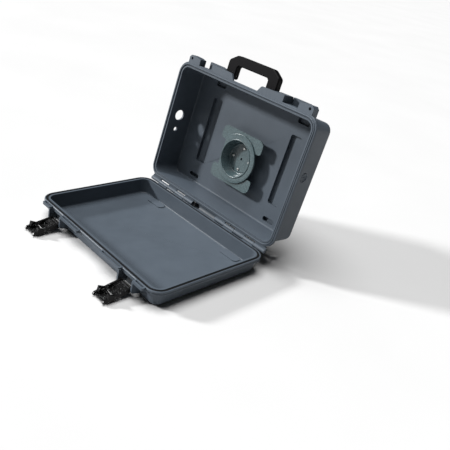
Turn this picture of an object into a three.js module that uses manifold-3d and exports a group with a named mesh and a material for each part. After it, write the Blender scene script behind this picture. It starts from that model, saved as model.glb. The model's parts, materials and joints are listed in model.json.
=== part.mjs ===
// A latched hard plastic carrying case, standing open on its lid, with a bait cup bracket
// screwed inside the base, a carrying handle and two press-and-pull latches.
// Millimetres, +Z up, X along the hinge. The origin is the centre of the lid's flat outer
// face, which lies on the ground; the base stands open past upright behind it.
import * as THREE from 'three';
import { mergeVertices } from 'three/addons/utils/BufferGeometryUtils.js';
import Module from 'manifold-3d';

const wasm = await Module();
wasm.setup();

// ---- driving dimensions -------------------------------------------------------------
const caseWidth = 420;          // rim, along the hinge
const caseLength = 291;         // rim, from the hinge side to the handle side
const cornerRadius = 30;        // of the rim in plan
const hingeOffset = 6.7;        // hinge axis to the rim's hinge-side edge
const openAngle = 100;          // degrees between the two rims at rest
const baseDepth = 74;           // rim plane to the base's back face
const baseFloor = 3.6;
const lidDepth = 40.5;          // rim plane to the lid's outer face
const lidFloor = 4.6;
const lidDrop = 1.2;            // lid rim plane below the hinge axis
const wallFoot = 3.4;           // wall thickness where it meets the floor
const wallInset = 7;            // outer wall behind the flange edge, at the rim
const baseDraft = 4;            // further inset of the wall at the base's floor
const lidDraft = 3.5;
const baseFillet = 7;           // outside, round each floor
const lidFillet = 12;
const innerFillet = 3.6;
const baseFlange = 6;           // height of the flange round each rim
const lidFlange = 9.5;
const rimFace = 12.5;           // width of the rim face
const sealInset = 5.4;          // centre line of the gasket and of the base's tongue
const grooveWidth = 5.6;
const grooveDepth = 4.4;
const tongueWidth = 2.8;
const tongueHeight = 1.8;
const gap = 0.3;                // between pieces that touch
const handleSide = hingeOffset + caseLength;
const lidFloorZ = -lidDrop - lidDepth + lidFloor;   // inner face of the lid's floor

// hinge
const barrelRadius = 4.6;
const barrelStart = 40;
const barrelEnd = 197;
const knuckles = 5;             // in each of the two barrels
const guardRadius = 11;         // inside of the guard that curves round the open middle
const guardThick = 2;
const pinRadius = 2;
const boreRadius = 2.3;

// pads inside the lid's corners, and the sockets under them
const padStart = 106;
const padEnd = 158;
const padRadius = 9;
const padHeight = 1.8;
const socketDepth = 2;

// latches
const latchX = 129.5;
const latchBay = 43;            // width of the bay in the bumpers
const latchWidth = 36;
const latchPivotY = handleSide + 5;
const latchPivotZ = -26;
const latchOpen = 100.5;        // degrees from closed to hanging open
const latchReach = 59;          // pivot to the tips of the prongs
const latchInner = -4.2;        // inner and outer faces, from the pivot
const latchOuter = 5.2;
const railWidth = 4;
const stripHeight = 6;          // of the slotted strips beside each latch
const rockerPivot = 33;         // rocker axis, from the latch pivot
const hookReach = 44;           // catching face of the hooks, from the latch pivot
const hookHeight = 6;           // hook tip inside the latch's inner face
const earStart = 33.5;          // the guiding ears on the rails, from the latch pivot
const earPeak = 44.5;
const earEnd = 49;
const earHeight = 8;
const catchDepth = hookReach + latchPivotZ - gap;
const catchHalf = 12.5;         // half width of the bar that the hooks hold

// blocks on the base's handle side
const blockStart = 36;
const blockEnd = 187;
const ledgeTop = handleSide + 13;
const innerBlockTop = handleSide + 14.5;
const cornerBlockTop = handleSide + 16.5;
const ledgeDepth = 5;
const innerBlockDepth = 42;
const cornerBlockDepth = 19;
const ridgeDepth = 35;          // front of the ridge behind each latch
const footHeight = 7.5;         // of the feet on the base's back, and the recesses inside them
const lockHoleX = 178;
const lockHoleY = handleSide + 9.5;

// handle
const legInner = 46;            // distance of each leg's faces from the middle
const legOuter = 75;
const handlePivotY = handleSide + 8.6;
const handlePivotZ = -18.5;
const gripLow = 329 - handlePivotY;
const gripHigh = 350 - handlePivotY;
const handleThick = 16;
const shoulderDrop = 19;        // of the sloping shoulders between the legs and the grip
const shoulderRun = 27;
const hubRadius = 7.6;

// bait cup bracket
const cupX = 3;
const cupY = 133;
const cupMouth = 41.5;          // radius
const cupFoot = 36;             // radius at its floor
const cupWall = 2.6;
const cupFloor = 3.4;
const cupHeight = 28;           // flange face above the base's floor
const flangeRing = 57;          // radius of the round flange
const plateHalf = 63;           // half size of the four-armed plate
const armWidth = 32;
const screwCircle = 25.5;

// wall openings and the side plug
const portRadius = 13;
const portY = hingeOffset + 158.8;
const portZ = -29.8;
const ventRadius = 5.2;
const ventY = hingeOffset + 123;
const ventZ = -29;
const plugY = hingeOffset + 164.7;
const plugZ = -33;
const plugRadius = 10.5;
const plugBore = 6.5;

const cornerSteps = 6;
const roundSteps = 16;

// ---- solids -------------------------------------------------------------------------
function solid(geometry) {
  geometry.deleteAttribute('normal');
  geometry.deleteAttribute('uv');
  const merged = mergeVertices(geometry, 1e-4);
  const mesh = new wasm.Mesh({
    numProp: 3,
    vertProperties: new Float32Array(merged.attributes.position.array),
    triVerts: new Uint32Array(merged.index.array),
  });
  return new wasm.Manifold(mesh);
}

function geometryOf(manifold) {
  const mesh = manifold.getMesh();
  const geometry = new THREE.BufferGeometry();
  geometry.setAttribute('position', new THREE.BufferAttribute(mesh.vertProperties, 3));
  geometry.setIndex(new THREE.BufferAttribute(mesh.triVerts, 1));
  return geometry;
}

function box(x0, x1, y0, y1, z0, z1) {
  const geometry = new THREE.BoxGeometry(x1 - x0, y1 - y0, z1 - z0);
  geometry.translate((x0 + x1) / 2, (y0 + y1) / 2, (z0 + z1) / 2);
  return solid(geometry);
}

// A cylinder along x, y or z from one place on that axis to another.
function rod(axis, radius, from, to, a = 0, b = 0, steps = roundSteps) {
  const geometry = new THREE.CylinderGeometry(radius, radius, to - from, steps);
  const middle = (from + to) / 2;
  if (axis === 'x') {
    geometry.rotateZ(Math.PI / 2);
    geometry.translate(middle, a, b);
  } else if (axis === 'y') {
    geometry.translate(a, middle, b);
  } else {
    geometry.rotateX(Math.PI / 2);
    geometry.translate(a, b, middle);
  }
  return solid(geometry);
}

// An outline in the YZ plane, given as [y, z] pairs, extruded along x.
function slabX(points, x0, x1) {
  const shape = new THREE.Shape(points.map(([y, z]) => new THREE.Vector2(y, z)));
  const geometry = new THREE.ExtrudeGeometry(shape, { depth: x1 - x0, bevelEnabled: false });
  const toWorld = new THREE.Matrix4().set(0, 0, 1, x0, 1, 0, 0, 0, 0, 1, 0, 0, 0, 0, 0, 1);
  geometry.applyMatrix4(toWorld);
  return solid(geometry);
}

// A shape in the XY plane extruded from z0 to z1.
function slabZ(shape, z0, z1, curveSegments = 6) {
  const settings = { depth: z1 - z0, bevelEnabled: false, curveSegments };
  const geometry = new THREE.ExtrudeGeometry(shape, settings);
  geometry.translate(0, 0, z0);
  return solid(geometry);
}

function roundedRectangle(x0, x1, y0, y1, radius) {
  const shape = new THREE.Shape();
  shape.moveTo(x0 + radius, y0);
  shape.absarc(x1 - radius, y0 + radius, radius, -Math.PI / 2, 0);
  shape.absarc(x1 - radius, y1 - radius, radius, 0, Math.PI / 2);
  shape.absarc(x0 + radius, y1 - radius, radius, Math.PI / 2, Math.PI);
  shape.absarc(x0 + radius, y0 + radius, radius, Math.PI, 1.5 * Math.PI);
  return shape;
}

// Points round the rim's outline, set inwards by an inset.
function rimOutline(inset) {
  const points = [];
  const radius = Math.max(cornerRadius - inset, 3);
  const halfX = caseWidth / 2 - inset - radius;
  const middleY = hingeOffset + caseLength / 2;
  const halfY = caseLength / 2 - inset - radius;
  for (let corner = 0; corner < 4; corner += 1) {
    const cx = (corner === 0 || corner === 3) ? halfX : -halfX;
    const cy = (corner < 2) ? halfY : -halfY;
    for (let step = 0; step <= cornerSteps; step += 1) {
      const angle = (corner + step / cornerSteps) * Math.PI / 2;
      points.push([cx + radius * Math.cos(angle), middleY + cy + radius * Math.sin(angle)]);
    }
  }
  return points;
}

// A solid tray body through sections [inset, z], from the lowest to the highest.
function trayBody(sections) {
  const rings = sections.map(([inset]) => rimOutline(inset));
  const count = rings[0].length;
  const positions = [];
  sections.forEach(([, z], level) => rings[level].forEach(([x, y]) => positions.push(x, y, z)));
  const index = [];
  for (let level = 0; level + 1 < sections.length; level += 1) {
    for (let i = 0; i < count; i += 1) {
      const a = level * count + i;
      const b = level * count + (i + 1) % count;
      index.push(a, b, b + count, a, b + count, a + count);
    }
  }
  const top = (sections.length - 1) * count;
  for (let i = 1; i + 1 < count; i += 1) {
    index.push(0, i + 1, i);
    index.push(top, top + i, top + i + 1);
  }
  return indexedSolid(positions, index);
}

// A closed ring that follows the rim, with its section given as [inset, z] pairs, listed
// anticlockwise where the inset grows to the right and z grows upwards.
function rimRing(section) {
  const rings = section.map(([inset]) => rimOutline(inset));
  const count = rings[0].length;
  const sides = section.length;
  const positions = [];
  section.forEach(([, z], side) => rings[side].forEach(([x, y]) => positions.push(x, y, z)));
  const index = [];
  for (let side = 0; side < sides; side += 1) {
    const next = (side + 1) % sides;
    for (let i = 0; i < count; i += 1) {
      const a = side * count + i;
      const b = side * count + (i + 1) % count;
      const c = next * count + i;
      const d = next * count + (i + 1) % count;
      index.push(a, d, b, a, c, d);
    }
  }
  return indexedSolid(positions, index);
}

function indexedSolid(positions, index) {
  const geometry = new THREE.BufferGeometry();
  geometry.setAttribute('position', new THREE.Float32BufferAttribute(positions, 3));
  geometry.setIndex(index);
  return solid(geometry);
}

function joined(pieces) {
  return pieces.reduce((sum, piece) => sum.add(piece));
}

function cutBy(body, cutters) {
  return cutters.reduce((rest, cutter) => rest.subtract(cutter), body);
}

function mirroredX(make) {
  return [make(1), make(-1)];
}

// Orders two x values for the side that a mirrored piece is on.
function span(side, near, far) {
  return side > 0 ? [near, far] : [-far, -near];
}

// ---- the two shells -----------------------------------------------------------------
// Sections of a drafted tray with a rounded foot, from its floor up to its rim.
function traySections(depth, top, insetTop, insetBottom, fillet) {
  const sections = [];
  const filletSteps = 4;
  for (let step = 0; step <= filletSteps; step += 1) {
    const angle = step / filletSteps * Math.PI / 2;
    const inset = insetBottom + fillet * (1 - Math.sin(angle));
    sections.push([inset, -depth + fillet * (1 - Math.cos(angle))]);
  }
  sections.push([insetTop, top]);
  return sections;
}

function trayShell(depth, floor, draft, fillet, flangeHeight) {
  const outer = trayBody(traySections(depth, -1, wallInset, wallInset + draft, fillet));
  const flange = trayBody([
    [wallInset, -flangeHeight - 2.5],
    [1, -flangeHeight],
    [0, -flangeHeight + 1],
    [0, -1.2],
    [1.2, 0],
  ]);
  const inner = trayBody(traySections(
    depth - floor, 1, rimFace - 0.2, wallInset + draft + wallFoot, innerFillet));
  return outer.add(flange).subtract(inner);
}

// Knuckles take turns between the two shells: parity 0 or 1 says which ones are made.
function knuckleRow(parity, rimZ) {
  const pitch = (barrelEnd - barrelStart) / knuckles;
  const pieces = [];
  for (let i = 0; i < knuckles; i += 1) {
    if (i % 2 !== parity) continue;
    for (const side of [1, -1]) {
      const [x0, x1] = span(side, barrelStart + i * pitch + gap, barrelStart + (i + 1) * pitch - gap);
      const barrel = rod('x', barrelRadius, x0, x1);
      const web = box(x0, x1, 0, hingeOffset + 2, -barrelRadius, rimZ - 0.4);
      pieces.push(barrel.add(web));
    }
  }
  return pieces;
}

function hingeBores() {
  return [1, -1].map((side) => {
    const [x0, x1] = span(side, barrelStart - 1, barrelEnd - 5);
    return rod('x', boreRadius, x0, x1);
  });
}

// Plan of the ledge and blocks that stand out from the base's handle side.
function blockPlan(side) {
  const wallY = handleSide - wallInset - 2;
  const outline = [
    [blockStart, wallY],
    [blockStart, handleSide - 1],
    [blockStart + 8, ledgeTop - 1.5],
    [blockStart + 10.5, ledgeTop],
    [legOuter, ledgeTop + 0.8],
    [latchX - 26, innerBlockTop],
    [latchX + 9, innerBlockTop],
    [latchX + 22, innerBlockTop - 1],
    [latchX + 33, cornerBlockTop - 0.6],
    [blockEnd - 5, cornerBlockTop],
    [blockEnd, cornerBlockTop - 5],
    [blockEnd, wallY],
  ];
  return new THREE.Shape(outline.map(([x, y]) => new THREE.Vector2(x * side, y)));
}

// A ledge level with the rim, a deep block between the handle leg and the latch bay, a
// shallower block at the corner, the bar that the hooks hold, and a ridge behind the latch.
function baseBlocks(side) {
  const plan = blockPlan(side);
  const wallY = handleSide - wallInset - 2;
  const high = cornerBlockTop + 1;
  const bayNear = latchX - latchBay / 2 + 1;
  const bayFar = latchX + latchBay / 2 - 1;
  const [innerA, innerB] = span(side, legOuter + 1, bayNear);
  const [cornerA, cornerB] = span(side, bayFar, blockEnd + 1);
  const [bayA, bayB] = span(side, bayNear, bayFar);
  const [ridgeA, ridgeB] = span(side, bayNear - 1, bayFar + 1);
  const [barA, barB] = span(side, latchX - catchHalf, latchX + catchHalf);
  const [pinA, pinB] = span(side, legOuter - 1, 98);
  const chamfer = slabX([
    [handleSide - 2, -innerBlockDepth - 1],
    [high, -innerBlockDepth - 1],
    [high, -innerBlockDepth + 13],
  ], innerA - 1, innerB + 1);
  const inner = slabZ(plan, -innerBlockDepth, -ledgeDepth + 0.5)
    .intersect(box(innerA, innerB, wallY, high, -innerBlockDepth, 0))
    .subtract(chamfer);
  const corner = slabZ(plan, -cornerBlockDepth, -ledgeDepth + 0.5)
    .intersect(box(cornerA, cornerB, wallY, high, -cornerBlockDepth, 0));
  const ledge = cutBy(slabZ(plan, -ledgeDepth, -0.2), [
    box(bayA, bayB, handleSide - 2, high, -ledgeDepth - 1, 1),
  ]);
  const ridge = box(ridgeA, ridgeB, wallY, innerBlockTop - 0.5, -innerBlockDepth, -ridgeDepth);
  const catchBar = box(barA, barB, wallY, handleSide + 0.2, -catchDepth, -ledgeDepth + 0.5);
  return cutBy(joined([ledge, inner, corner, ridge, catchBar]), [
    rod('z', 3.2, -cornerBlockDepth - 1, 1, side * lockHoleX, lockHoleY),
    rod('x', boreRadius, pinA, pinB, handlePivotY, handlePivotZ),
  ]);
}

function foot(side, x0, x1, y0, y1, outside) {
  const [a, b] = span(side, x0, x1);
  const grow = outside ? 3.2 : 0;
  const back = -baseDepth;
  const shape = roundedRectangle(a - grow, b + grow, y0 - grow, y1 + grow, 5 + grow);
  if (outside) return slabZ(shape, back - footHeight, back + 1, 3);
  return slabZ(shape, back - footHeight + baseFloor, back + baseFloor + 0.5, 3);
}

function baseFeet(outside) {
  const places = [
    [110, 139.5, 73.5, 235.5],
    [113, 146, 31, 42],
    [113, 146, 263, 274],
  ];
  const pieces = [];
  for (const [x0, x1, y0, y1] of places) {
    pieces.push(...mirroredX((side) => foot(side, x0, x1, y0, y1, outside)));
  }
  return pieces;
}

function screwPlaces() {
  return [0, 1, 2, 3].map((i) => {
    const angle = i * Math.PI / 2;
    return [cupX + screwCircle * Math.cos(angle), cupY + screwCircle * Math.sin(angle)];
  });
}

function baseShell() {
  const tongue = rimRing([
    [sealInset - tongueWidth / 2, -1],
    [sealInset + tongueWidth / 2, -1],
    [sealInset + tongueWidth / 2, tongueHeight - 0.8],
    [sealInset + 0.6, tongueHeight],
    [sealInset - 0.6, tongueHeight],
    [sealInset - tongueWidth / 2, tongueHeight - 0.8],
  ]);
  const groove = rimRing([
    [sealInset + 1.9, -1.6],
    [sealInset + 3.4, -1.6],
    [sealInset + 3.8, 1],
    [sealInset + 1.9, 1],
  ]);
  const bosses = screwPlaces().map(([x, y]) => rod('z', 4.6, -baseDepth - 3.4, -baseDepth + 1, x, y, 12));
  let shell = joined([
    trayShell(baseDepth, baseFloor, baseDraft, baseFillet, baseFlange),
    ...mirroredX(baseBlocks),
    ...baseFeet(true),
    ...bosses,
    ...knuckleRow(0, 0),
  ]);
  shell = cutBy(shell, [groove, ...baseFeet(false), ...hingeBores()]);
  shell = cutBy(shell, screwPlaces().map(([x, y]) => (
    rod('z', 2.1, -baseDepth - 2.2, -baseDepth + baseFloor + 1, x, y, 12))));
  const wallX = caseWidth / 2;
  shell = cutBy(shell, [
    rod('x', portRadius, -wallX - 5, -wallX + 40, portY, portZ, 24),
    rod('x', ventRadius, -wallX - 5, -wallX + 40, ventY, ventZ),
    rod('x', plugBore, wallX - 40, wallX + 5, plugY, plugZ),
    rod('x', plugRadius + 0.8, plugSeat(), wallX + 5, plugY, plugZ),
  ]);
  return shell.add(tongue);
}

// The plug's seat is a flat spot-face in the drafted right-hand wall.
function plugSeat() {
  const depthShare = (plugZ - plugRadius) / -baseDepth;
  return caseWidth / 2 - wallInset - baseDraft * depthShare - 1;
}

// Thin strips with a slot stand out from the lid's rim on both sides of each latch.
function lidStrips(side) {
  const rimZ = -lidDrop;
  const strips = [
    [latchX + latchBay / 2, 181],
    [41, latchX - latchBay / 2],
  ];
  return strips.map(([near, far]) => {
    const [x0, x1] = span(side, near, far);
    const outline = roundedRectangle(x0, x1, handleSide - 12, handleSide + 8, 3.2);
    const slot = roundedRectangle(x0 + 4, x1 - 3, handleSide + 0.8, handleSide + 4.4, 1.7);
    const strip = slabZ(outline, rimZ - stripHeight, rimZ - 0.3, 3);
    return strip.subtract(slabZ(slot, rimZ - stripHeight - 1, rimZ + 1, 3));
  });
}

// Two cheeks at each latch carry its pivot pin; a sloped apron joins them to the wall.
function latchCheeks(side) {
  const rimZ = -lidDrop;
  const pieces = [];
  for (const edge of [-1, 1]) {
    const inner = latchX + edge * (latchBay / 2 - 1.2);
    const outer = latchX + edge * (latchBay / 2 + 2.6);
    const [x0, x1] = span(side, Math.min(inner, outer), Math.max(inner, outer));
    pieces.push(slabX([
      [handleSide - 12.5, rimZ - 3],
      [handleSide + 7.8, rimZ - 3],
      [handleSide + 8.6, latchPivotZ + 3],
      [handleSide + 8.6, latchPivotZ - 1.6],
      [latchPivotY + 1.2, latchPivotZ - 4],
      [handleSide - 12.5, latchPivotZ - 8],
    ], x0, x1));
  }
  return joined(pieces);
}

function latchPinBore(side) {
  const reach = latchBay / 2 + 1.4;
  return rod('x', boreRadius, side * latchX - reach, side * latchX + reach, latchPivotY, latchPivotZ);
}

// Low pads with round ends, inside the lid's four corners.
function cornerPads(side) {
  const [x0, x1] = span(side, padStart, padEnd);
  const rows = [[21, 43], [handleSide - 40, handleSide - 18]];
  return rows.map(([y0, y1]) => (
    slabZ(roundedRectangle(x0, x1, y0, y1, padRadius), lidFloorZ - 1, lidFloorZ + padHeight, 4)));
}

// Shallow sockets under the pads, in the lid's outer face, for the feet of another case.
function stackingSockets(side) {
  const outerZ = -lidDrop - lidDepth;
  const [x0, x1] = span(side, padStart + 3, padEnd - 3);
  const rows = [[26, 42], [handleSide - 35, handleSide - 19]];
  return rows.map(([y0, y1]) => (
    slabZ(roundedRectangle(x0, x1, y0, y1, padRadius - 3), outerZ - 1, outerZ + socketDepth, 4)));
}

// A low step along the foot of the front wall stiffens the lid behind its latches.
function frontStep() {
  const reach = caseWidth / 2 - wallInset - 8;
  return slabX([
    [handleSide - 55, lidFloorZ - 1],
    [handleSide - 14, lidFloorZ - 1],
    [handleSide - 14, lidFloorZ + 4.5],
    [handleSide - 32, lidFloorZ + 2.6],
    [handleSide - 34.5, lidFloorZ + 1.4],
    [handleSide - 51, lidFloorZ + 1.4],
  ], -reach, reach);
}

// The hinge is open in its middle, where a thin curved guard on the lid passes under it.
function hingeGuard() {
  const outer = guardRadius + guardThick;
  const start = -0.15 * Math.PI;
  const shape = new THREE.Shape();
  shape.moveTo(hingeOffset + 2, -outer);
  shape.lineTo(hingeOffset + 2, -guardRadius);
  shape.lineTo(0, -guardRadius);
  shape.absarc(0, 0, guardRadius, -0.5 * Math.PI, -Math.PI + start, true);
  shape.absarc(0, 0, outer, -Math.PI + start, -0.5 * Math.PI, false);
  const outline = shape.getPoints(5).map((point) => [point.x, point.y]);
  return slabX(outline, -barrelStart, barrelStart);
}

function lidShell() {
  const shell = trayShell(lidDepth, lidFloor, lidDraft, lidFillet, lidFlange).translate([0, 0, -lidDrop]);
  const groove = rimRing([
    [sealInset - grooveWidth / 2, -lidDrop - grooveDepth],
    [sealInset + grooveWidth / 2, -lidDrop - grooveDepth],
    [sealInset + grooveWidth / 2, 1],
    [sealInset - grooveWidth / 2, 1],
  ]);
  const bandLine = rimRing([
    [-1, -lidDrop - 5.8],
    [0.9, -lidDrop - 5.5],
    [0.9, -lidDrop - 4.7],
    [-1, -lidDrop - 4.4],
  ]);
  const outerMass = trayBody([
    [wallInset + lidDraft + 7.5, -lidDrop - lidDepth + 0.5],
    [wallInset + 1, -lidDrop - lidDepth + 10],
    [wallInset + 1, -lidDrop - 3],
  ]);
  const step = frontStep().intersect(outerMass);
  const pads = mirroredX(cornerPads).flat().map((pad) => pad.intersect(outerMass));
  const sockets = mirroredX(stackingSockets).flat();
  const body = joined([
    shell.subtract(bandLine),
    step,
    hingeGuard(),
    ...pads,
    ...mirroredX(lidStrips).flat(),
    ...mirroredX(latchCheeks),
    ...knuckleRow(1, -lidDrop),
  ]);
  return cutBy(body, [groove, ...sockets, ...hingeBores(), ...mirroredX(latchPinBore)]);
}

function lidGasket() {
  const low = -lidDrop - grooveDepth + gap;
  const high = -tongueHeight - gap;
  const half = grooveWidth / 2 - gap;
  return rimRing([
    [sealInset - half + 0.5, low],
    [sealInset + half - 0.5, low],
    [sealInset + half, low + 0.8],
    [sealInset + half, high - 1],
    [sealInset + half - 0.6, high],
    [sealInset - half + 0.6, high],
    [sealInset - half, high - 1],
    [sealInset - half, low + 0.8],
  ]);
}

function hingePin(side) {
  const [x0, x1] = span(side, barrelStart + 2.5, barrelEnd - 5.5);
  return rod('x', pinRadius, x0, x1);
}

// ---- a latch, drawn closed with its pivot at the origin -----------------------------
function latchBody() {
  const half = latchWidth / 2;
  const rail = [
    [latchInner + 1.5, -4.4],
    [latchOuter - 1.5, -4.4],
    [latchOuter, -2.5],
    [latchOuter, hookReach + 4],
    [latchOuter - 2.4, latchReach - 1.5],
    [latchOuter - 4, latchReach],
    [latchInner + 2.4, latchReach],
    [latchInner, latchReach - 3],
    [latchInner, earEnd],
    [latchInner - earHeight, earPeak + 1],
    [latchInner - earHeight, earPeak],
    [latchInner, earStart],
    [latchInner, -2.5],
  ];
  const rails = [slabX(rail, -half, -half + railWidth), slabX(rail, half - railWidth, half)];
  const root = slabX([
    [latchInner + 1.5, -4.4],
    [latchOuter - 1.5, -4.4],
    [latchOuter, -2.5],
    [latchOuter, 17],
    [latchInner + 2.5, 17],
    [latchInner + 2.5, -2.5],
  ], -half + 1, half - 1);
  const plate = box(-half + 1, half - 1, latchOuter - 2.6, latchOuter, 15, 21);
  const bar = slabX([
    [latchInner + 2, 52.5],
    [latchOuter - 3.5, 52.5],
    [latchOuter - 3.5, 56],
    [latchInner + 2, 56],
  ], -half + 1, half - 1);
  const ribs = [4, 8.5, 13].map((z) => (
    box(-half + 2, half - 2, latchInner + 0.6, latchInner + 3, z, z + 1.8)));
  const notch = rod('x', 4.2, -half + railWidth + 2.5, half - railWidth - 2.5, latchInner - 2.2, 13.5, 12);
  const body = joined([...rails, root, plate, bar, ...ribs]);
  return cutBy(body, [
    notch,
    rod('x', boreRadius, -half - 1, half + 1),
    rod('x', boreRadius, -half - 1, half + 1, 0.4, rockerPivot),
  ]);
}

function latchRocker() {
  const half = latchWidth / 2 - railWidth - 0.5;
  const pad = slabX([
    [latchOuter - 2.4, 22],
    [latchOuter - 0.2, 22],
    [latchOuter + 0.6, 30],
    [latchOuter - 0.1, 49],
    [latchOuter - 2.4, 49],
  ], -half, half);
  const hook = [
    [latchOuter - 2, 28],
    [latchInner + 1, 28],
    [latchInner, 37],
    [latchInner, hookReach],
    [latchInner - hookHeight, hookReach],
    [latchInner - hookHeight + 1, hookReach + 2.5],
    [latchInner, hookReach + 6],
    [latchOuter - 2, hookReach + 4],
  ];
  const hooks = [slabX(hook, -half, -half + 3.4), slabX(hook, half - 3.4, half)];
  const hub = rod('x', 4.1, -half, half, 0.4, rockerPivot);
  const brace = box(-half, half, latchInner + 1.5, latchOuter - 2, 37.5, 40);
  return joined([pad, ...hooks, hub, brace]).subtract(
    rod('x', boreRadius, -half - 1, half + 1, 0.4, rockerPivot));
}

function latchPin() {
  const reach = latchBay / 2 + 1;
  return rod('x', pinRadius, -reach, reach);
}

function rockerPin() {
  const reach = latchWidth / 2 - 0.4;
  return rod('x', pinRadius, -reach, reach, 0.4, rockerPivot);
}

// ---- the handle, drawn upright with its pivot at the origin -------------------------
function handleBail() {
  const shape = new THREE.Shape();
  const outer = legOuter;
  shape.moveTo(-outer, -hubRadius);
  shape.lineTo(-legInner, -hubRadius);
  shape.lineTo(-legInner, gripLow - 4);
  shape.lineTo(-legInner + 4, gripLow);
  shape.lineTo(legInner - 4, gripLow);
  shape.lineTo(legInner, gripLow - 4);
  shape.lineTo(legInner, -hubRadius);
  shape.lineTo(outer, -hubRadius);
  shape.lineTo(outer, gripHigh - shoulderDrop);
  shape.quadraticCurveTo(outer, gripHigh - 14, outer - 4, gripHigh - 11.5);
  shape.lineTo(outer - 19, gripHigh - 2);
  shape.quadraticCurveTo(outer - 22, gripHigh, outer - shoulderRun, gripHigh);
  shape.lineTo(shoulderRun - outer, gripHigh);
  shape.quadraticCurveTo(22 - outer, gripHigh, 19 - outer, gripHigh - 2);
  shape.lineTo(4 - outer, gripHigh - 11.5);
  shape.quadraticCurveTo(-outer, gripHigh - 14, -outer, gripHigh - shoulderDrop);
  const settings = {
    depth: handleThick - 4,
    bevelEnabled: true,
    bevelThickness: 2,
    bevelSize: 2,
    bevelOffset: -2,
    bevelSegments: 1,
    curveSegments: 5,
  };
  const geometry = new THREE.ExtrudeGeometry(shape, settings);
  geometry.translate(0, 0, -handleThick / 2 + 2);
  const hub = rod('x', hubRadius, -outer + 0.2, outer - 0.2);
  const round = joined([
    hub,
    box(-outer, outer, 0, gripHigh + 1, -handleThick, handleThick),
  ]);
  const middle = box(-legInner + 2, legInner - 2, -hubRadius - 1, gripLow - 5, -20, 20);
  return solid(geometry)
    .intersect(round)
    .subtract(middle)
    .subtract(rod('x', boreRadius, -outer - 1, outer + 1));
}

function handlePin(side) {
  const [x0, x1] = span(side, legInner + 1, 97);
  return rod('x', pinRadius, x0, x1);
}

// ---- the bait cup bracket, drawn with its floor at z = 0 ----------------------------
function plateShape() {
  const shape = roundedRectangle(-plateHalf, plateHalf, -plateHalf, plateHalf, 12);
  return slabZ(shape, cupHeight - 4, cupHeight - 1.2, 5);
}

function cupBracket() {
  const waist = plateHalf - armWidth;
  const sides = [1, -1].map((side) => {
    const [x0, x1] = span(side, 30, plateHalf + 1);
    return box(x0, x1, -waist, waist, cupHeight - 5, cupHeight);
  });
  const arms = cutBy(plateShape(), sides);
  const profile = [
    [0, 0],
    [cupFoot + cupWall, 0],
    [cupMouth + cupWall, cupHeight - 3.2],
    [flangeRing, cupHeight - 3.2],
    [flangeRing, cupHeight - 1],
    [flangeRing - 1.5, cupHeight],
    [cupMouth + 1, cupHeight],
    [cupMouth, cupHeight - 1.2],
    [cupFoot, cupFloor + 1.5],
    [cupFoot - 2, cupFloor],
    [0, cupFloor],
  ].map(([r, z]) => new THREE.Vector2(r, z));
  const lathe = new THREE.LatheGeometry(profile, 36);
  lathe.rotateX(Math.PI / 2);
  const cup = solid(lathe);
  const bore = rod('z', cupMouth + 1, cupHeight - 6, cupHeight + 1, 0, 0, 36);
  const trim = box(-plateHalf - 1, -cupMouth - cupWall, -waist, waist, cupHeight - 6, cupHeight + 1);
  const holes = [0, 1, 2, 3].map((i) => {
    const angle = i * Math.PI / 2;
    return rod('z', 2.1, -1, cupFloor + 1, screwCircle * Math.cos(angle), screwCircle * Math.sin(angle), 12);
  });
  const centre = rod('z', 3, -1, cupFloor + 1, 0, 0, 16);
  return cutBy(arms.subtract(bore).add(cup), [trim, ...holes, centre]);
}

function screw() {
  const profile = [
    [0, -5.2],
    [1.2, -5.2],
    [1.7, -4.4],
    [1.7, cupFloor + gap],
    [3.6, cupFloor + gap],
    [3.6, cupFloor + 1.2],
    [2.6, cupFloor + 2.4],
    [0, cupFloor + 2.7],
  ].map(([r, z]) => new THREE.Vector2(r, z));
  const lathe = new THREE.LatheGeometry(profile, 12);
  lathe.rotateX(Math.PI / 2);
  const slots = [
    box(-2, 2, -0.4, 0.4, cupFloor + 1.4, cupFloor + 4),
    box(-0.4, 0.4, -2, 2, cupFloor + 1.4, cupFloor + 4),
  ];
  return cutBy(solid(lathe), slots);
}

// ---- the side plug, drawn with its seat at z = 0 and its head upwards ---------------
function sidePlug() {
  const profile = [
    [0, -7],
    [plugBore - 1.3, -7],
    [plugBore - gap, -6],
    [plugBore - gap, gap],
    [plugRadius, gap],
    [plugRadius, 1.8],
    [plugRadius - 0.8, 2.4],
    [plugRadius - 1.8, 2.4],
    [plugRadius - 2.6, 0.9],
    [2.2, 0.6],
    [1.6, 1.5],
    [0, 1.5],
  ].map(([r, z]) => new THREE.Vector2(r, z));
  const lathe = new THREE.LatheGeometry(profile, 20);
  lathe.rotateX(Math.PI / 2);
  return solid(lathe);
}

// ---- materials ----------------------------------------------------------------------
const caseGrey = new THREE.MeshStandardMaterial({ color: 0x5c656e, roughness: 0.55, metalness: 0 });
const bracketGrey = new THREE.MeshStandardMaterial({ color: 0x66757a, roughness: 0.35, metalness: 0 });
const blackPlastic = new THREE.MeshStandardMaterial({ color: 0x17181a, roughness: 0.45, metalness: 0 });
const sealRubber = new THREE.MeshStandardMaterial({ color: 0x0c0d0e, roughness: 0.8, metalness: 0 });
const steel = new THREE.MeshStandardMaterial({ color: 0xb9bcc0, roughness: 0.3, metalness: 1 });

function node(name, manifold, material) {
  const mesh = new THREE.Mesh(geometryOf(manifold), material);
  mesh.name = name;
  return mesh;
}

// ---- the assembly -------------------------------------------------------------------
const hingeHeight = lidDepth + lidDrop;
const lidCentre = hingeOffset + caseLength / 2;
const radians = Math.PI / 180;

const lid = new THREE.Group();
lid.position.set(0, lidCentre, hingeHeight);
lid.rotation.z = Math.PI;
lid.add(node('lid_shell', lidShell(), caseGrey));
lid.add(node('lid_gasket', lidGasket(), sealRubber));
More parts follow.
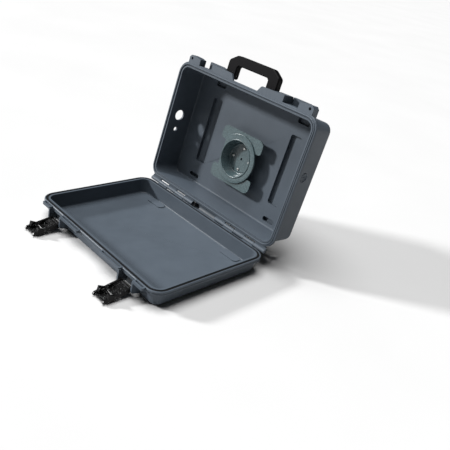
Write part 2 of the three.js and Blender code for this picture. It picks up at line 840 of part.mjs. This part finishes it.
// The lid is turned half round, so its left-hand parts lie on its own positive side.
for (const [name, side] of [['left', 1], ['right', -1]]) {
  lid.add(node(`hinge_pin_${name}`, hingePin(side), steel));
  lid.add(node(`latch_pin_${name}`, latchPin().translate([side * latchX, latchPivotY, latchPivotZ]), steel));
  const latch = new THREE.Group();
  latch.position.set(side * latchX, latchPivotY, latchPivotZ);
  latch.rotation.x = -latchOpen * radians;
  latch.add(node(`latch_body_${name}`, latchBody(), blackPlastic));
  latch.add(node(`latch_rocker_${name}`, latchRocker(), blackPlastic));
  latch.add(node(`rocker_pin_${name}`, rockerPin(), steel));
  lid.add(latch);
}

const base = new THREE.Group();
base.position.set(0, lidCentre, hingeHeight);
base.rotation.x = (180 - openAngle) * radians;
base.add(node('base_shell', baseShell(), caseGrey));

const handle = new THREE.Group();
handle.position.set(0, handlePivotY, handlePivotZ);
handle.add(node('handle_bail', handleBail(), blackPlastic));
base.add(handle);
for (const [name, side] of [['left', -1], ['right', 1]]) {
  base.add(node(`handle_pin_${name}`, handlePin(side).translate([0, handlePivotY, handlePivotZ]), steel));
}

const bracket = new THREE.Group();
bracket.position.set(cupX, cupY, -baseDepth + baseFloor + gap);
bracket.add(node('bait_cup_bracket', cupBracket(), bracketGrey));
base.add(bracket);
['right', 'top', 'left', 'bottom'].forEach((name, i) => {
  const [x, y] = screwPlaces()[i];
  const fastener = node(`cup_screw_${name}`, screw(), steel);
  fastener.position.set(x, y, -baseDepth + baseFloor + gap);
  base.add(fastener);
});

const plug = node('side_plug', sidePlug(), caseGrey);
plug.position.set(plugSeat(), plugY, plugZ);
plug.rotation.y = Math.PI / 2;
base.add(plug);

const group = new THREE.Group();
group.add(lid, base);
export default group;
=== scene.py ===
"""Looks of the latched carrying case that stands open on its lid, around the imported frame."""
import json
import math

import bmesh
import bpy
from mathutils import Matrix, Vector


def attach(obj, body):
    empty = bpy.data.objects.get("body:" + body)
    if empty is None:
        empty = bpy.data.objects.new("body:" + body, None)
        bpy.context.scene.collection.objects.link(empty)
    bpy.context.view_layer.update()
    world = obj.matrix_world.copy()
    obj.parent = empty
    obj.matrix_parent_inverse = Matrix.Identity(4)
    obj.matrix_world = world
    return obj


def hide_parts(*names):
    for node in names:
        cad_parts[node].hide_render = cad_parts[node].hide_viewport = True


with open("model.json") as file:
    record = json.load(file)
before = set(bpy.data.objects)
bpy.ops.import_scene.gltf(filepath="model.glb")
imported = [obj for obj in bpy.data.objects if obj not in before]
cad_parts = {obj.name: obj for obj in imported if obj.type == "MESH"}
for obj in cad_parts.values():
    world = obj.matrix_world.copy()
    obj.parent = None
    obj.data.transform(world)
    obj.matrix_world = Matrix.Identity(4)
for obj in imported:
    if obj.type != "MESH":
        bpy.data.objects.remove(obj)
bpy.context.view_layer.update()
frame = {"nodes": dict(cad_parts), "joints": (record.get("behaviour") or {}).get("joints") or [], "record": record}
nodes = frame["nodes"]
joints = {joint["name"]: joint for joint in frame["joints"]}
hinge = Vector(joints["case_hinge"]["pos_m"])

MM = 0.001
OPEN_ANGLE = math.radians(joints["case_hinge"]["range_deg"][1])
# Turns the base's own frame, whose XY plane is its rim, to where the base stands open.
BASE_TURN = Matrix.Rotation(math.pi - OPEN_ANGLE, 4, "X")

# ---- camera and light, from the case's own size ------------------------------------------
CASE_WIDTH = 0.42
CAMERA_AZIMUTH = 40.98      # degrees to the right of the case's front
CAMERA_ELEVATION = 27.39
CAMERA_ROLL = 12.05
CAMERA_LENS = 44.18
SENSOR_WIDTH = 36.0
CAMERA_DISTANCE = 3.047 * CASE_WIDTH
AIM_FROM_HINGE = Vector((0.1147, 0.0684, -0.0458)) * CASE_WIDTH
KEY_TRAVEL = Vector((1.19, 0.90, -0.65))
KEY_STRENGTH = 4.4
KEY_SPREAD = 7.0            # degrees across the key light, which softens its shadows
TOP_TRAVEL = Vector((0.15, 0.12, -1.0))
TOP_STRENGTH = 4.0
TOP_SPREAD = 45.0
SKY_STRENGTH = 0.03
FLOOR_HALF = 60.0
FLOOR_DARK = (0.525, 0.525, 0.525)
FLOOR_PALE = (0.545, 0.545, 0.545)

# ---- moulded edges ------------------------------------------------------------------------
EDGE_RADIUS = 0.35 * MM
EDGE_RADII = {
    "lid_shell": 0.45 * MM,
    "base_shell": 0.45 * MM,
    "handle_bail": 0.9 * MM,
}
EDGE_SEGMENTS = 2
FLAT_ANGLE = 0.5            # degrees between faces that count as one flat face
EDGE_ANGLE = 24.0           # degrees between faces that meet in an edge
BRACKET_EDGE_RADIUS = 0.6 * MM
BRACKET_EDGE_ANGLE = 40.0

# ---- the bait cup bracket, in millimetres in the base's own frame --------------------------
CUP_X = 3.0
CUP_Y = 133.0
CUP_FLOOR_Z = -70.1         # underside of the cup
CUP_HEIGHT = 27.6
CUP_WALL = 2.4
CUP_FLOOR = 3.4
MOUTH_RADIUS = 41.5
FOOT_RADIUS = 36.0
FOOT_FILLET = 2.5           # inside, where the wall meets the floor
FOOT_CHAMFER_IN = 1.4
FOOT_CHAMFER_UP = 1.2
BEAD_RADIUS = 30.6          # of the low bead round the floor
BEAD_HEIGHT = 0.8
BEAD_HALF_FOOT = 0.9
BEAD_HALF_TOP = 0.4
LIP_RADIUS = 1.5
LIP_CENTRE = MOUTH_RADIUS + 1.7
RING_RADIUS = 57.0
RING_INNER = MOUTH_RADIUS + 4.4
RING_UNDERSIDE = CUP_HEIGHT - 5.4
RING_TOP = CUP_HEIGHT - 1.4
RING_ROUND = 1.2
RING_CHAMFER = 0.6
PLATE_HALF = 63.0           # half the square that the four arms fill
ARM_INNER = 31.0            # from the cup's middle to the near side of an arm
ARM_INNER_ROUND = 7.0
ARM_OUTER_ROUND = 14.0
ARM_UNDERSIDE = CUP_HEIGHT - 7.6
ARM_THICKNESS = 3.0
ARM_BORE = MOUTH_RADIUS + 1.5
WAIST_X = 44.3              # where the ring is trimmed between the left arms
WAIST_UNDERSIDE = CUP_HEIGHT - 5.8
SCREW_CIRCLE = 25.5
SCREW_HOLE = 2.1
SCREW_HOLE_MOUTH = 3.0
SCREW_HOLE_NECK = 3.0       # height at which a screw hole starts to widen
CENTRE_HOLE = 3.0
HOLE_TOP = 5.0
PAST = 1.0                  # how far a cutting tool reaches past a face


# ---- materials ----------------------------------------------------------------------------
class Nodes:
    """A material's node tree, with short calls for the nodes used here."""

    def __init__(self, name):
        self.material = bpy.data.materials.new(name)
        self.material.use_nodes = True
        self.tree = self.material.node_tree
        self.shader = self.tree.nodes["Principled BSDF"]
        self.coordinates = self.add("ShaderNodeTexCoord").outputs["Object"]

    def add(self, kind, **inputs):
        node = self.tree.nodes.new(kind)
        for key, value in inputs.items():
            node.inputs[key.replace("_", " ")].default_value = value
        return node

    def link(self, source, target):
        self.tree.links.new(source, target)

    def feed(self, source, socket):
        self.link(source, self.shader.inputs[socket])

    def fix(self, socket, value):
        self.shader.inputs[socket].default_value = value

    def noise(self, scale, detail=3.0, roughness=0.5):
        node = self.add("ShaderNodeTexNoise", Scale=scale, Detail=detail, Roughness=roughness)
        self.link(self.coordinates, node.inputs["Vector"])
        return node.outputs["Fac"]

    def cells(self, scale):
        node = self.add("ShaderNodeTexVoronoi", Scale=scale)
        self.link(self.coordinates, node.inputs["Vector"])
        return node.outputs["Distance"]

    def ramp(self, source, *stops):
        node = self.add("ShaderNodeValToRGB")
        ramp = node.color_ramp
        for index, (position, colour) in enumerate(stops):
            element = ramp.elements[index] if index < 2 else ramp.elements.new(position)
            element.position = position
            element.color = (*colour, 1.0)
        self.link(source, node.inputs["Fac"])
        return node.outputs["Color"]

    def span(self, source, low, high):
        node = self.add("ShaderNodeMapRange", To_Min=low, To_Max=high)
        self.link(source, node.inputs["Value"])
        return node.outputs["Result"]

    def bump(self, height, distance, strength=1.0, below=None):
        node = self.add("ShaderNodeBump", Distance=distance, Strength=strength)
        self.link(height, node.inputs["Height"])
        if below is not None:
            self.link(below, node.inputs["Normal"])
        return node.outputs["Normal"]


def shade(colour, factor):
    return tuple(channel * factor for channel in colour)


def moulded_plastic(name, colour, roughness, grain_scale, grain_height, gloss):
    """Injection-moulded plastic: soft cloudy colour, a fine grain, faint scuffs and low waves."""
    made = Nodes(name)
    clouds = made.noise(scale=14.0, detail=4.0, roughness=0.6)
    tint = made.ramp(clouds, (0.3, shade(colour, 0.93)), (0.7, shade(colour, 1.07)))
    scuffs = made.noise(scale=55.0, detail=5.0, roughness=0.65)
    grain = made.bump(made.cells(grain_scale), grain_height, strength=0.55)
    waves = made.noise(scale=9.0, detail=2.0)
    made.feed(tint, "Base Color")
    made.feed(made.span(scuffs, roughness - 0.07, roughness + 0.09), "Roughness")
    made.feed(made.bump(waves, 1.2 * MM, strength=0.25, below=grain), "Normal")
    made.fix("IOR", 1.47)
    made.fix("Specular IOR Level", gloss)
    return made.material


def black_with_painted_glints(name, colour, glint_colour):
    """Black plastic with small pale specks painted into its colour as painted highlights, over a varying roughness
    and a fine bump.
    """
    made = Nodes(name)
    glint_specks = made.noise(scale=330.0, detail=2.0, roughness=0.75)
    # Painted highlights: the base colour turns from black to pale grey on the speck pattern.
    made.feed(made.ramp(glint_specks, (0.62, colour), (0.70, glint_colour)), "Base Color")
    made.feed(made.span(made.noise(scale=120.0), 0.2, 0.42), "Roughness")
    made.feed(made.bump(glint_specks, 0.6 * MM, strength=0.3), "Normal")
    made.fix("Specular IOR Level", 0.14)
    return made.material


def rubber(name, colour):
    made = Nodes(name)
    mottle = made.noise(scale=90.0)
    pores = made.noise(scale=1800.0, detail=2.0)
    tint = made.ramp(mottle, (0.3, shade(colour, 0.8)), (0.7, shade(colour, 1.3)))
    made.feed(tint, "Base Color")
    made.feed(made.span(made.noise(scale=240.0), 0.62, 0.85), "Roughness")
    made.feed(made.bump(pores, 0.08 * MM, strength=0.5), "Normal")
    made.fix("Specular IOR Level", 0.1)
    return made.material


def speckled_plastic(name, colour, roughness):
    """Half-gloss plastic with a mottled surface of small pale and dark specks."""
    made = Nodes(name)
    specks = made.noise(scale=420.0, detail=2.0, roughness=0.6)
    tint = made.ramp(
        specks,
        (0.34, shade(colour, 0.6)),
        (0.46, shade(colour, 0.95)),
        (0.58, colour),
        (0.7, shade(colour, 1.5)),
    )
    smears = made.noise(scale=60.0, detail=4.0)
    made.feed(tint, "Base Color")
    made.feed(made.span(smears, roughness - 0.08, roughness + 0.12), "Roughness")
    made.feed(made.bump(specks, 0.3 * MM, strength=0.3), "Normal")
    made.fix("IOR", 1.5)
    return made.material


def brushed_steel(name, colour):
    made = Nodes(name)
    streaks = made.noise(scale=900.0, detail=3.0, roughness=0.7)
    tint = made.ramp(streaks, (0.3, shade(colour, 0.85)), (0.7, shade(colour, 1.15)))
    made.feed(tint, "Base Color")
    made.feed(made.span(streaks, 0.2, 0.38), "Roughness")
    made.feed(made.bump(streaks, 0.03 * MM, strength=0.4), "Normal")
    made.fix("Metallic", 1.0)
    return made.material


MATERIALS = {
    "case_grey": moulded_plastic(
        "case_grey",
        colour=(0.062, 0.077, 0.095),
        roughness=0.45,
        grain_scale=1400.0,
        grain_height=0.06 * MM,
        gloss=0.28,
    ),
    "bracket_grey": speckled_plastic("bracket_grey", colour=(0.066, 0.098, 0.106), roughness=0.24),
    "black_plastic": moulded_plastic(
        "black_plastic",
        colour=(0.0042, 0.004, 0.0046),
        roughness=0.45,
        grain_scale=1600.0,
        grain_height=0.05 * MM,
        gloss=0.06,
    ),
    # The latches' black, with pale specks painted in as painted highlights.
    "latch_black": black_with_painted_glints(
        "latch_black",
        colour=(0.0035, 0.0035, 0.0038),
        glint_colour=(0.16, 0.17, 0.17),
    ),
    "seal_rubber": rubber("seal_rubber", colour=(0.006, 0.006, 0.0065)),
    "steel": brushed_steel("steel", colour=(0.6, 0.6, 0.59)),
    "dark_steel": brushed_steel("dark_steel", colour=(0.05, 0.05, 0.052)),
}


def look_of(name, slot):
    """Which material a CAD node shows: its slot's own, except on the pins and the latches."""
    if "pin" in name:
        return "dark_steel"
    if "latch" in name:
        return "latch_black"
    return slot


def paint(piece, look):
    piece.data.materials.clear()
    piece.data.materials.append(MATERIALS[look])
    piece.data.polygons.foreach_set("use_smooth", [True] * len(piece.data.polygons))


def round_edges(piece, radius, angle):
    edges = piece.modifiers.new("soft_edges", "BEVEL")
    edges.width = radius
    edges.segments = EDGE_SEGMENTS
    edges.limit_method = "ANGLE"
    edges.angle_limit = math.radians(angle)
    return edges


def soften_edges(piece, radius):
    """Joins the triangles of each flat face, then rounds the moulded edges between them."""
    flat = piece.modifiers.new("flat_faces", "DECIMATE")
    flat.decimate_type = "DISSOLVE"
    flat.angle_limit = math.radians(FLAT_ANGLE)
    edges = round_edges(piece, radius, EDGE_ANGLE)
    edges.miter_outer = "MITER_ARC"
    shading = piece.modifiers.new("even_shading", "WEIGHTED_NORMAL")
    shading.mode = "FACE_AREA"
    shading.weight = 100


# ---- mesh helpers, in millimetres until a piece is placed ---------------------------------
def arc(x, y, radius, start, end, steps):
    """Points on an arc, from one angle to another in degrees."""
    points = []
    for step in range(steps + 1):
        angle = math.radians(start + (end - start) * step / steps)
        points.append((x + radius * math.cos(angle), y + radius * math.sin(angle)))
    return points


def rounded_corners(corners, steps=6):
    """An outline through corners (x, y, radius), each rounded by an arc that meets both its sides."""
    outline = []
    for index, (x, y, radius) in enumerate(corners):
        here = Vector((x, y))
        before = (Vector(corners[index - 1][:2]) - here).normalized()
        after = (Vector(corners[(index + 1) % len(corners)][:2]) - here).normalized()
        half = before.angle(after) / 2
        centre = here + (before + after).normalized() * radius / math.sin(half)
        first = here + before * radius / math.tan(half) - centre
        turn = first.angle_signed(here + after * radius / math.tan(half) - centre)
        for step in range(steps + 1):
            spoke = Matrix.Rotation(-turn * step / steps, 2) @ first
            outline.append(tuple(centre + spoke))
    return outline


def prism(outline, low, high):
    """A flat outline in the XY plane, raised from one height to another."""
    made = bmesh.new()
    bottom = [made.verts.new((x, y, low)) for x, y in outline]
    top = [made.verts.new((x, y, high)) for x, y in outline]
    made.faces.new(bottom[::-1])
    made.faces.new(top)
    for index in range(len(outline)):
        after = (index + 1) % len(outline)
        made.faces.new((bottom[index], bottom[after], top[after], top[index]))
    bmesh.ops.recalc_face_normals(made, faces=made.faces)
    return made


def turned(profile, steps=96):
    """A solid of revolution about Z, from points (radius, z) that start and end on the axis."""
    made = bmesh.new()
    angles = [2 * math.pi * step / steps for step in range(steps)]
    rings = []
    for radius, z in profile:
        if radius == 0:
            rings.append([made.verts.new((0, 0, z))])
            continue
        rings.append([made.verts.new((radius * math.cos(a), radius * math.sin(a), z)) for a in angles])
    for ring, following in zip(rings, rings[1:]):
        for step in range(steps):
            after = (step + 1) % steps
            loop = [ring[step % len(ring)], ring[after % len(ring)]]
            loop += [following[after % len(following)], following[step % len(following)]]
            made.faces.new(list(dict.fromkeys(loop)))
    bmesh.ops.recalc_face_normals(made, faces=made.faces)
    return made


def as_piece(name, made):
    mesh = bpy.data.meshes.new(name)
    made.to_mesh(mesh)
    made.free()
    piece = bpy.data.objects.new(name, mesh)
    bpy.context.scene.collection.objects.link(piece)
    return piece


def bake_modifiers(piece):
    shown = piece.evaluated_get(bpy.context.evaluated_depsgraph_get())
    mesh = bpy.data.meshes.new_from_object(shown)
    piece.modifiers.clear()
    piece.data = mesh


def combine(piece, operation, tools):
    """Joins or cuts a piece by bmesh tools, one after another."""
    for made in tools:
        tool = as_piece("tool", made)
        change = piece.modifiers.new("combine", "BOOLEAN")
        change.operation = operation
        change.solver = "EXACT"
        change.object = tool
        bake_modifiers(piece)
        bpy.data.objects.remove(tool)


def place(piece, matrix):
    """Scales a piece from millimetres and puts it where it belongs in the case."""
    piece.data.transform(matrix @ Matrix.Scale(MM, 4))
    piece.data.update()


def stand_for(piece, node, body, slot):
    paint(piece, slot)
    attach(piece, body)
    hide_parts(node)


# ---- the bait cup bracket -----------------------------------------------------------------
def cup_profile():
    """Half the cup's section: its outside, the flange ring, the round lip, then its inside."""
    return [
        (0, 0),
        (FOOT_RADIUS + CUP_WALL - FOOT_CHAMFER_IN, 0),
        (FOOT_RADIUS + CUP_WALL, FOOT_CHAMFER_UP),
        (MOUTH_RADIUS + CUP_WALL, RING_UNDERSIDE),
        (RING_RADIUS - RING_CHAMFER, RING_UNDERSIDE),
        (RING_RADIUS, RING_UNDERSIDE + RING_CHAMFER),
        *arc(RING_RADIUS - RING_ROUND, RING_TOP - RING_ROUND, RING_ROUND, 0, 90, 5),
        (RING_INNER, RING_TOP),
        *arc(LIP_CENTRE, CUP_HEIGHT - LIP_RADIUS, LIP_RADIUS, 0, 180, 8),
        (MOUTH_RADIUS - 0.1, CUP_HEIGHT - 2 * LIP_RADIUS),
        *arc(FOOT_RADIUS - FOOT_FILLET, CUP_FLOOR + FOOT_FILLET, FOOT_FILLET, 0, -90, 6),
        (BEAD_RADIUS + BEAD_HALF_FOOT, CUP_FLOOR),
        (BEAD_RADIUS + BEAD_HALF_TOP, CUP_FLOOR + BEAD_HEIGHT),
        (BEAD_RADIUS - BEAD_HALF_TOP, CUP_FLOOR + BEAD_HEIGHT),
        (BEAD_RADIUS - BEAD_HALF_FOOT, CUP_FLOOR),
        (0, CUP_FLOOR),
    ]


def arm_plate(side):
    """Two arms of the bracket in one wide plate with round ends, above or below the cup."""
    corners = [
        (-PLATE_HALF, side * ARM_INNER, ARM_INNER_ROUND),
        (PLATE_HALF, side * ARM_INNER, ARM_INNER_ROUND),
        (PLATE_HALF, side * PLATE_HALF, ARM_OUTER_ROUND),
        (-PLATE_HALF, side * PLATE_HALF, ARM_OUTER_ROUND),
    ]
    outline = rounded_corners(corners[::side])
    return prism(outline, ARM_UNDERSIDE, ARM_UNDERSIDE + ARM_THICKNESS)


def make_arms():
    """Both arm plates as one mesh, bored out so that the cup passes between them."""
    arms = as_piece("arms", arm_plate(1))
    combine(arms, "UNION", [arm_plate(-1)])
    low = ARM_UNDERSIDE - 2 * PAST
    high = CUP_HEIGHT + 2 * PAST
    bore = [(0, low), (ARM_BORE, low), (ARM_BORE, high), (0, high)]
    combine(arms, "DIFFERENCE", [turned(bore)])
    joined = bmesh.new()
    joined.from_mesh(arms.data)
    bpy.data.objects.remove(arms)
    return joined


def waist_cut():
    far = RING_RADIUS + PAST
    outline = [(-far, -ARM_INNER), (-WAIST_X, -ARM_INNER), (-WAIST_X, ARM_INNER), (-far, ARM_INNER)]
    return prism(outline, WAIST_UNDERSIDE, CUP_HEIGHT + PAST)


def floor_holes():
    """Four screw holes that widen towards the cup's mouth, and a plain one in the middle."""
    profile = [
        (0, -PAST),
        (SCREW_HOLE, -PAST),
        (SCREW_HOLE, SCREW_HOLE_NECK),
        (SCREW_HOLE_MOUTH, HOLE_TOP),
        (0, HOLE_TOP),
    ]
    holes = []
    for quarter in range(4):
        angle = quarter * math.pi / 2
        hole = turned(profile, steps=24)
        shift = (SCREW_CIRCLE * math.cos(angle), SCREW_CIRCLE * math.sin(angle), 0)
        bmesh.ops.translate(hole, verts=hole.verts, vec=shift)
        holes.append(hole)
    centre = [(0, -PAST), (CENTRE_HOLE, -PAST), (CENTRE_HOLE, HOLE_TOP), (0, HOLE_TOP)]
    holes.append(turned(centre, steps=32))
    return holes


def make_bracket():
    bracket = as_piece("bracket_look", turned(cup_profile()))
    arms = make_arms()
    combine(bracket, "DIFFERENCE", [waist_cut()])
    combine(bracket, "UNION", [arms])
    combine(bracket, "DIFFERENCE", floor_holes())
    home = Matrix.Translation(hinge) @ BASE_TURN
    place(bracket, home @ Matrix.Translation(Vector((CUP_X, CUP_Y, CUP_FLOOR_Z)) * MM))
    stand_for(bracket, "bait_cup_bracket", "base", "bracket_grey")
    edges = round_edges(bracket, BRACKET_EDGE_RADIUS, BRACKET_EDGE_ANGLE)
    edges.harden_normals = True


# ---- the pieces that keep their CAD shape -------------------------------------------------
def dress_cad_nodes(replaced):
    for subpart in frame["record"]["subparts"]:
        name = subpart["node"]
        slot = subpart["material_slot"]
        if name not in replaced:
            paint(nodes[name], look_of(name, slot))
            soften_edges(nodes[name], EDGE_RADII.get(name, EDGE_RADIUS))


# ---- floor, lights and camera -------------------------------------------------------------
def make_floor():
    mesh = bpy.data.meshes.new("floor")
    half = FLOOR_HALF
    corners = [(-half, -half, 0), (half, -half, 0), (half, half, 0), (-half, half, 0)]
    mesh.from_pydata(corners, [], [(0, 1, 2, 3)])
    floor = bpy.data.objects.new("floor", mesh)
    bpy.context.scene.collection.objects.link(floor)
    made = Nodes("floor")
    made.feed(made.ramp(made.noise(scale=2.0), (0.3, FLOOR_DARK), (0.7, FLOOR_PALE)), "Base Color")
    made.fix("Roughness", 0.9)
    mesh.materials.append(made.material)


def make_lamp(name, travel, strength, spread):
    lamp = bpy.data.lights.new(name, "SUN")
    lamp.energy = strength
    lamp.angle = math.radians(spread)
    holder = bpy.data.objects.new(name, lamp)
    holder.rotation_euler = travel.to_track_quat("-Z", "Y").to_euler()
    bpy.context.scene.collection.objects.link(holder)


def make_lights():
    make_lamp("key", KEY_TRAVEL, KEY_STRENGTH, KEY_SPREAD)
    make_lamp("top", TOP_TRAVEL, TOP_STRENGTH, TOP_SPREAD)
    world = bpy.data.worlds.new("studio")
    world.use_nodes = True
    background = world.node_tree.nodes["Background"]
    background.inputs["Color"].default_value = (1.0, 1.0, 1.0, 1.0)
    background.inputs["Strength"].default_value = SKY_STRENGTH
    bpy.context.scene.world = world
    bpy.context.scene.view_settings.view_transform = "Standard"


def make_camera():
    azimuth = math.radians(CAMERA_AZIMUTH)
    elevation = math.radians(CAMERA_ELEVATION)
    back = Vector((
        math.cos(elevation) * math.sin(azimuth),
        -math.cos(elevation) * math.cos(azimuth),
        math.sin(elevation),
    ))
    level = Vector((math.cos(azimuth), math.sin(azimuth), 0.0))
    upright = back.cross(level)
    roll = math.radians(CAMERA_ROLL)
    right = level * math.cos(roll) + upright * math.sin(roll)
    up = upright * math.cos(roll) - level * math.sin(roll)
    eye = hinge + AIM_FROM_HINGE + back * CAMERA_DISTANCE
    camera = bpy.data.cameras.new("camera")
    camera.lens = CAMERA_LENS
    camera.sensor_width = SENSOR_WIDTH
    holder = bpy.data.objects.new("camera", camera)
    turn = Matrix((right, up, back)).transposed().to_4x4()
    holder.matrix_world = Matrix.Translation(eye) @ turn
    bpy.context.scene.collection.objects.link(holder)
    bpy.context.scene.camera = holder


make_bracket()
dress_cad_nodes(replaced=("bait_cup_bracket",))
make_floor()
make_lights()
make_camera()
